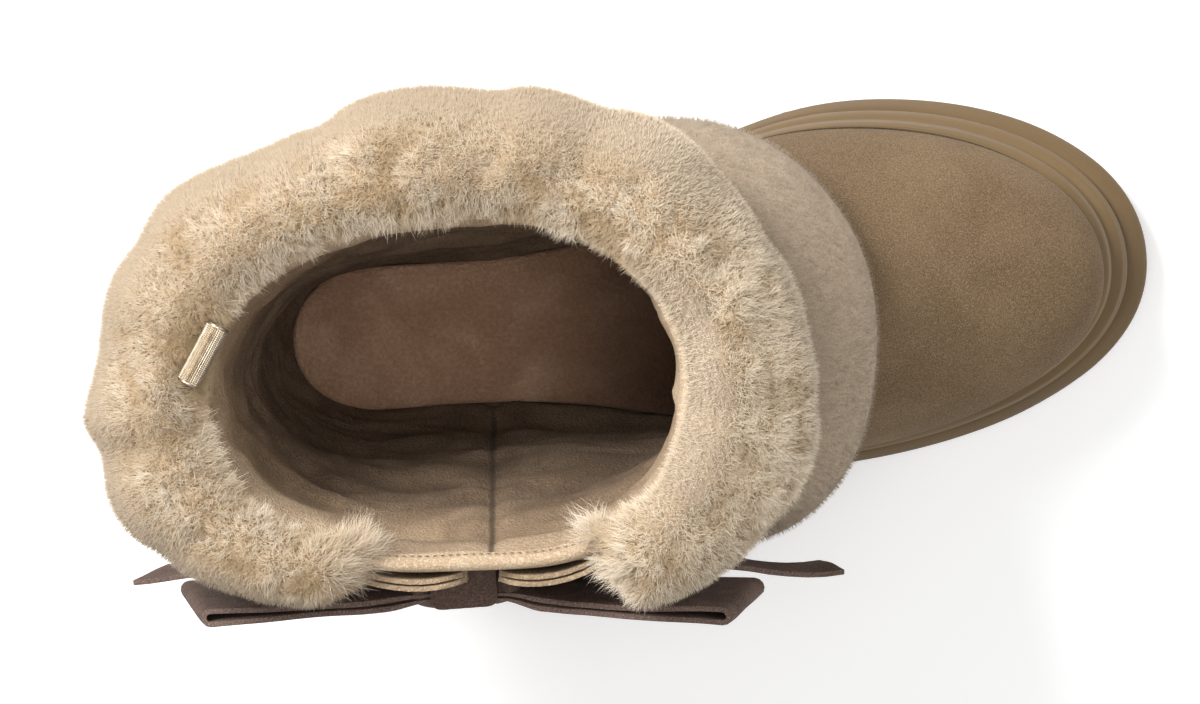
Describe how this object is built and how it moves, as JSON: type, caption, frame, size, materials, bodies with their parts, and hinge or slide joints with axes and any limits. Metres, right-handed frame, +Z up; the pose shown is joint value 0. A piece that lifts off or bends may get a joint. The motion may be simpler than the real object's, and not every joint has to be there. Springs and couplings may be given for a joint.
{
  "type": "sheepskin boot",
  "caption": "Short suede boot with a turned-down sheepskin cuff, a lower fur band, a side bow over the cuff's opening and a thick ridged sole.",
  "frame": {"origin": "on the floor, under the middle of the heel", "axes": "+X towards the toe, +Y towards the medial side, +Z up"},
  "size_m": [0.3067, 0.156, 0.2004],
  "materials": {
    "sole_rubber": "satin moulded rubber",
    "sole_foam": "matt moulded foam",
    "tan_suede": "short nap suede",
    "shearling": "dense short wool",
    "short_fur": "smooth short sheepskin pile",
    "long_fur": "fluffy long sheepskin pile",
    "brown_suede": "short nap suede",
    "gold_metal": "pale gold, knurled"
  },
  "bodies": {
    "root": {"outsole": "sole_rubber", "midsole": "sole_foam", "upper": "tan_suede", "insole": "shearling", "fur_shaft": "short_fur", "fur_cuff": "long_fur", "tab_rear": "tan_suede", "tab_front": "tan_suede", "bow_knot": "brown_suede", "bow_loop_rear": "brown_suede", "bow_loop_front": "brown_suede", "bow_tail_rear": "brown_suede", "bow_tail_front": "brown_suede", "toggle_barrel": "gold_metal"}
  },
  "joints": []
}
